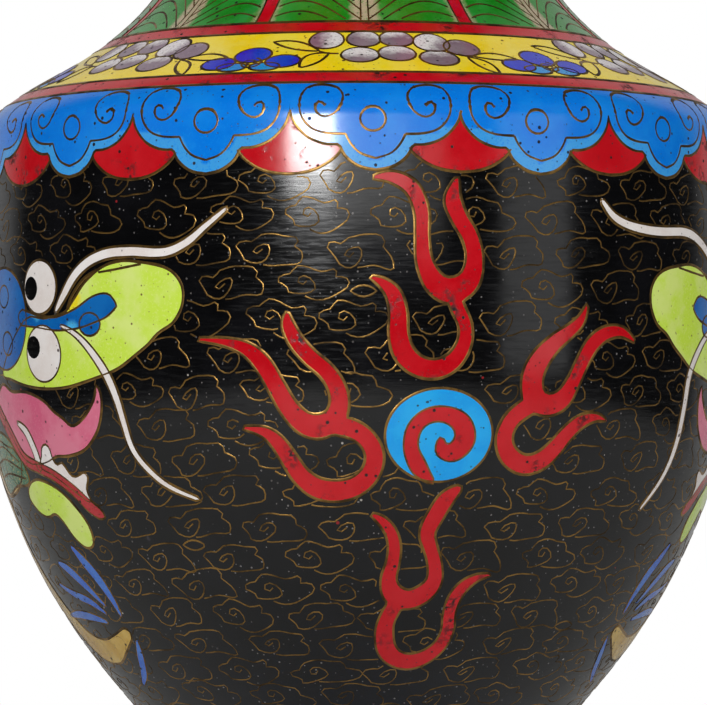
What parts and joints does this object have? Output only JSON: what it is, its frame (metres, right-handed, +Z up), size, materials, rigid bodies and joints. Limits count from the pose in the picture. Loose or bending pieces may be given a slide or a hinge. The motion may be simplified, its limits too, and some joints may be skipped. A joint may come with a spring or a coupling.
{
  "type": "cloisonne vase",
  "caption": "Tall shouldered vase of enamelled copper with a flared neck and foot, ringed with brass wires; holds flowers or stands as an ornament.",
  "frame": {"origin": "centre of the foot ring's bottom face", "axes": "+Z up along the vase's axis, -Y towards the front pearl's side"},
  "size_m": [0.1472, 0.1472, 0.2586],
  "materials": {
    "copper": "beaten copper",
    "brass_wire": "polished, browned in the joints",
    "turquoise_enamel": "glossy",
    "black_enamel": "polished with fine pits",
    "red_enamel": "polished",
    "blue_enamel": "polished with fine pits",
    "yellow_enamel": "polished",
    "mauve_enamel": "clouded with white",
    "deep_blue_enamel": "clouded with light blue",
    "green_enamel": "clouded with beige",
    "pearl_enamel": "polished with fine pits",
    "lime_enamel": "flecked with yellow",
    "brow_enamel": "polished",
    "white_enamel": "polished",
    "pink_enamel": "polished",
    "lip_enamel": "polished",
    "ochre_enamel": "scaled, clouded with yellow",
    "strand_enamel": "polished"
  },
  "bodies": {
    "root": {"copper_foot": "copper", "copper_lower_body": "copper", "copper_upper_body": "copper", "copper_neck": "copper", "bottom_plate": "copper", "foot_rim": "brass_wire", "mouth_rim": "brass_wire", "inner_enamel": "turquoise_enamel", "base_enamel": "turquoise_enamel", "waist_wire": "brass_wire", "petal_lower_wire": "brass_wire", "petal_upper_wire": "brass_wire", "collar_wire": "brass_wire", "flower_lower_wire": "brass_wire", "flower_upper_wire": "brass_wire", "leaf_wire": "brass_wire", "lip_wire": "brass_wire", "foot_band": "blue_enamel", "waist_band": "red_enamel", "petal_ground": "red_enamel", "lotus_petals": "blue_enamel", "body_ground": "black_enamel", "blue_collar": "blue_enamel", "ruyi_lappets": "blue_enamel", "red_scallops": "red_enamel", "lower_red_band": "red_enamel", "flower_ground": "yellow_enamel", "mauve_flowers": "mauve_enamel", "blue_flowers": "deep_blue_enamel", "upper_red_band": "red_enamel", "neck_ground": "red_enamel", "plantain_leaves": "green_enamel", "lip_band": "blue_enamel", "front_pearl": "pearl_enamel", "back_pearl": "pearl_enamel", "front_flame_top": "red_enamel", "front_flame_left": "red_enamel", "front_flame_right": "red_enamel", "front_flame_bottom": "red_enamel", "back_flame_top": "red_enamel", "back_flame_left": "red_enamel", "back_flame_right": "red_enamel", "back_flame_bottom": "red_enamel", "left_dragon_head": "lime_enamel", "left_dragon_brow": "brow_enamel", "left_dragon_whites": "white_enamel", "left_dragon_tongue": "pink_enamel", "left_dragon_lip": "lip_enamel", "left_dragon_body": "ochre_enamel", "left_dragon_legs": "ochre_enamel", "left_dragon_mane": "strand_enamel", "right_dragon_head": "lime_enamel", "right_dragon_brow": "brow_enamel", "right_dragon_whites": "white_enamel", "right_dragon_tongue": "pink_enamel", "right_dragon_lip": "lip_enamel", "right_dragon_body": "ochre_enamel", "right_dragon_legs": "ochre_enamel", "right_dragon_mane": "strand_enamel"}
  },
  "joints": []
}
